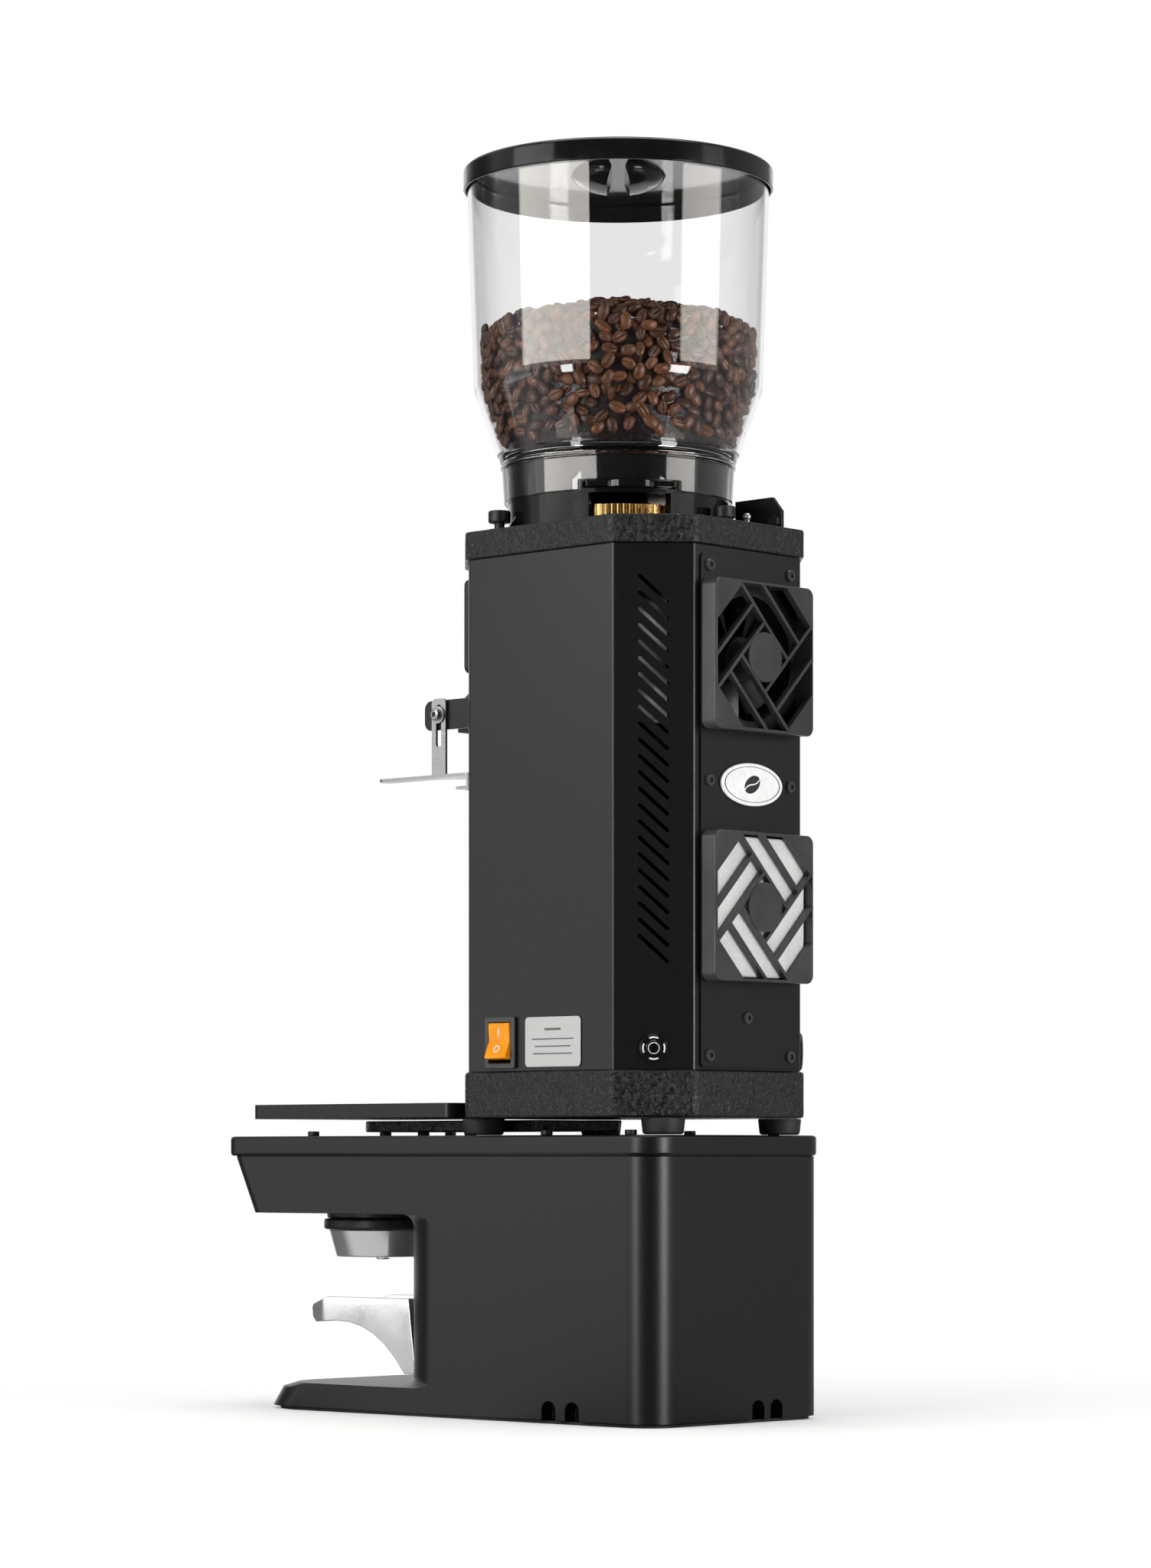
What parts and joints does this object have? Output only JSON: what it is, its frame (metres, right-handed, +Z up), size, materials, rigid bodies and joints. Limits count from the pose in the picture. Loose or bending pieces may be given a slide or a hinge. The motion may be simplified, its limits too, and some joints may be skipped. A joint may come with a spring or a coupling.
{
  "type": "burr coffee grinder",
  "caption": "Tall octagonal burr coffee grinder with clear bean hopper, rear fans and portafilter fork, standing on an automatic tamper base.",
  "frame": {"origin": "where the hopper and burr axis meets the surface the object stands on", "axes": "+Z up along the burr axis, -Y out of the front, +X to the side that carries the rocker switch"},
  "size_m": [0.1818, 0.3734, 0.7335],
  "materials": {
    "satin_black": "fine satin powder coat",
    "gloss_black": "polished black moulding",
    "wrinkle_black": "wrinkle paint over a casting",
    "plastic_black": "matt black moulding",
    "rubber": "dull black rubber",
    "chrome": "mirror polished",
    "stainless": "fine brushed",
    "steel": "turned steel",
    "aluminium": "as cast",
    "brass": "machined brass",
    "clear_plastic": "clear polycarbonate, faint grey tint",
    "coffee_beans": "medium roast, slight oil sheen",
    "filter_felt": "white non-woven filter felt",
    "amber_plastic": "translucent amber",
    "silver_label": "silver film with a plain printed pattern"
  },
  "bodies": {
    "frame": {"tamper_body": "satin_black", "tamper_top_plate": "satin_black", "housing": "satin_black", "back_panel": "satin_black", "worm_bracket": "satin_black", "worm_bearing": "satin_black", "fork_bracket": "satin_black", "tamper_display": "gloss_black", "collar": "gloss_black", "control_panel": "gloss_black", "base_casting": "wrinkle_black", "top_cap": "wrinkle_black", "tray_support": "wrinkle_black", "upper_fan_frame": "plastic_black", "lower_fan_frame": "plastic_black", "upper_fan_guard": "plastic_black", "lower_fan_guard": "plastic_black", "switch_bezel": "plastic_black", "fuse_holder": "plastic_black", "power_inlet": "plastic_black", "spout": "plastic_black", "tamper_foot_pad": "rubber", "foot_front_right": "rubber", "foot_front_left": "rubber", "foot_rear_right": "rubber", "foot_rear_left": "rubber", "portafilter_clamp": "chrome", "tamper_motor": "steel", "tamper_gearbox": "aluminium", "grinder_motor": "aluminium", "burr_chamber": "aluminium", "filter_pad": "filter_felt", "badge": "silver_label", "label_plate": "silver_label"},
    "hopper": {"hopper": "clear_plastic", "bean_fill": "coffee_beans"},
    "lid": {"lid": "gloss_black"},
    "gate": {"hopper_gate": "plastic_black"},
    "adjuster": {"adjustment_gear": "brass", "upper_burr": "steel"},
    "worm": {"worm_shaft": "steel", "worm_knob": "plastic_black"},
    "rotor": {"motor_shaft": "steel", "lower_burr": "steel"},
    "upper_fan": {"upper_fan_rotor": "plastic_black"},
    "lower_fan": {"lower_fan_rotor": "plastic_black"},
    "rocker": {"rocker": "amber_plastic"},
    "single_button": {"single_dose_button": "steel"},
    "double_button": {"double_dose_button": "steel"},
    "fork": {"portafilter_fork": "stainless"},
    "fork_screw_right": {"fork_screw_right": "steel"},
    "fork_screw_left": {"fork_screw_left": "steel"},
    "tray": {"drip_tray": "satin_black"},
    "piston": {"piston_spindle": "steel", "piston_collar": "plastic_black", "piston_head": "chrome"},
    "thumbscrew_right": {"thumbscrew_right": "plastic_black"},
    "thumbscrew_rear": {"thumbscrew_rear": "plastic_black"},
    "thumbscrew_front": {"thumbscrew_front": "plastic_black"},
    "fuse_cap": {"fuse_cap": "plastic_black"}
  },
  "joints": [
    {"name": "hopper_lift", "type": "slide", "parent": "frame", "child": "hopper", "axis": [0, 0, 1], "range_m": [0, 0.06]},
    {"name": "lid_lift", "type": "slide", "parent": "hopper", "child": "lid", "axis": [0, 0, 1], "range_m": [0, 0.05]},
    {"name": "gate_slide", "type": "slide", "parent": "frame", "child": "gate", "axis": [0.6561, 0.7547, 0], "range_m": [0, 0.045]},
    {"name": "worm_turn", "type": "hinge", "parent": "frame", "child": "worm", "pos_m": [-0.0626, 0, 0.524], "axis": [0, 1, 0], "range_deg": [-900, 900]},
    {"name": "adjust_turn", "type": "hinge", "parent": "frame", "child": "adjuster", "pos_m": [0, 0, 0.524], "axis": [0, 0, 1], "range_deg": [-9, 9]},
    {"name": "burr_spin", "type": "hinge", "parent": "frame", "child": "rotor", "pos_m": [0, 0, 0.44], "axis": [0, 0, 1], "continuous": true},
    {"name": "upper_fan_spin", "type": "hinge", "parent": "frame", "child": "upper_fan", "pos_m": [0, 0.0868, 0.4382], "axis": [0, 1, 0], "continuous": true},
    {"name": "lower_fan_spin", "type": "hinge", "parent": "frame", "child": "lower_fan", "pos_m": [0, 0.0868, 0.2955], "axis": [0, 1, 0], "continuous": true},
    {"name": "rocker_tilt", "type": "hinge", "parent": "frame", "child": "rocker", "pos_m": [0.0757, -0.019, 0.219], "axis": [0, 1, 0], "range_deg": [0, 20]},
    {"name": "single_press", "type": "slide", "parent": "frame", "child": "single_button", "axis": [0, 1, 0], "range_m": [0, 0.0015], "stiffness_N_per_m": 400, "springref_m": -0.001},
    {"name": "double_press", "type": "slide", "parent": "frame", "child": "double_button", "axis": [0, 1, 0], "range_m": [0, 0.0015], "stiffness_N_per_m": 400, "springref_m": -0.001},
    {"name": "fork_height", "type": "slide", "parent": "frame", "child": "fork", "axis": [0, 0, 1], "range_m": [-0.003, 0.014]},
    {"name": "fork_screw_right_turn", "type": "hinge", "parent": "frame", "child": "fork_screw_right", "pos_m": [0.04, -0.1093, 0.4173], "axis": [1, 0, 0], "continuous": true},
    {"name": "fork_screw_left_turn", "type": "hinge", "parent": "frame", "child": "fork_screw_left", "pos_m": [-0.04, -0.1093, 0.4173], "axis": [-1, 0, 0], "continuous": true},
    {"name": "tray_pull", "type": "slide", "parent": "frame", "child": "tray", "axis": [0, -1, 0], "range_m": [0, 0.12]},
    {"name": "piston_press", "type": "slide", "parent": "frame", "child": "piston", "axis": [0, 0, -1], "range_m": [0, 0.02]},
    {"name": "thumbscrew_right_turn", "type": "hinge", "parent": "frame", "child": "thumbscrew_right", "pos_m": [0.063, -0.036, 0.52], "axis": [0, 0, 1], "continuous": true},
    {"name": "thumbscrew_rear_turn", "type": "hinge", "parent": "frame", "child": "thumbscrew_rear", "pos_m": [-0.0126, 0.072, 0.52], "axis": [0, 0, 1], "continuous": true},
    {"name": "thumbscrew_front_turn", "type": "hinge", "parent": "frame", "child": "thumbscrew_front", "pos_m": [-0.02, -0.07, 0.52], "axis": [0, 0, 1], "continuous": true},
    {"name": "fuse_cap_turn", "type": "hinge", "parent": "frame", "child": "fuse_cap", "pos_m": [0.0624, 0.0848, 0.2145], "axis": [0.7071, 0.7071, 0], "range_deg": [0, 60]}
  ],
  "couplings": [
    {"joint": "adjust_turn", "follows": "worm_turn", "ratio": 0.01}
  ]
}
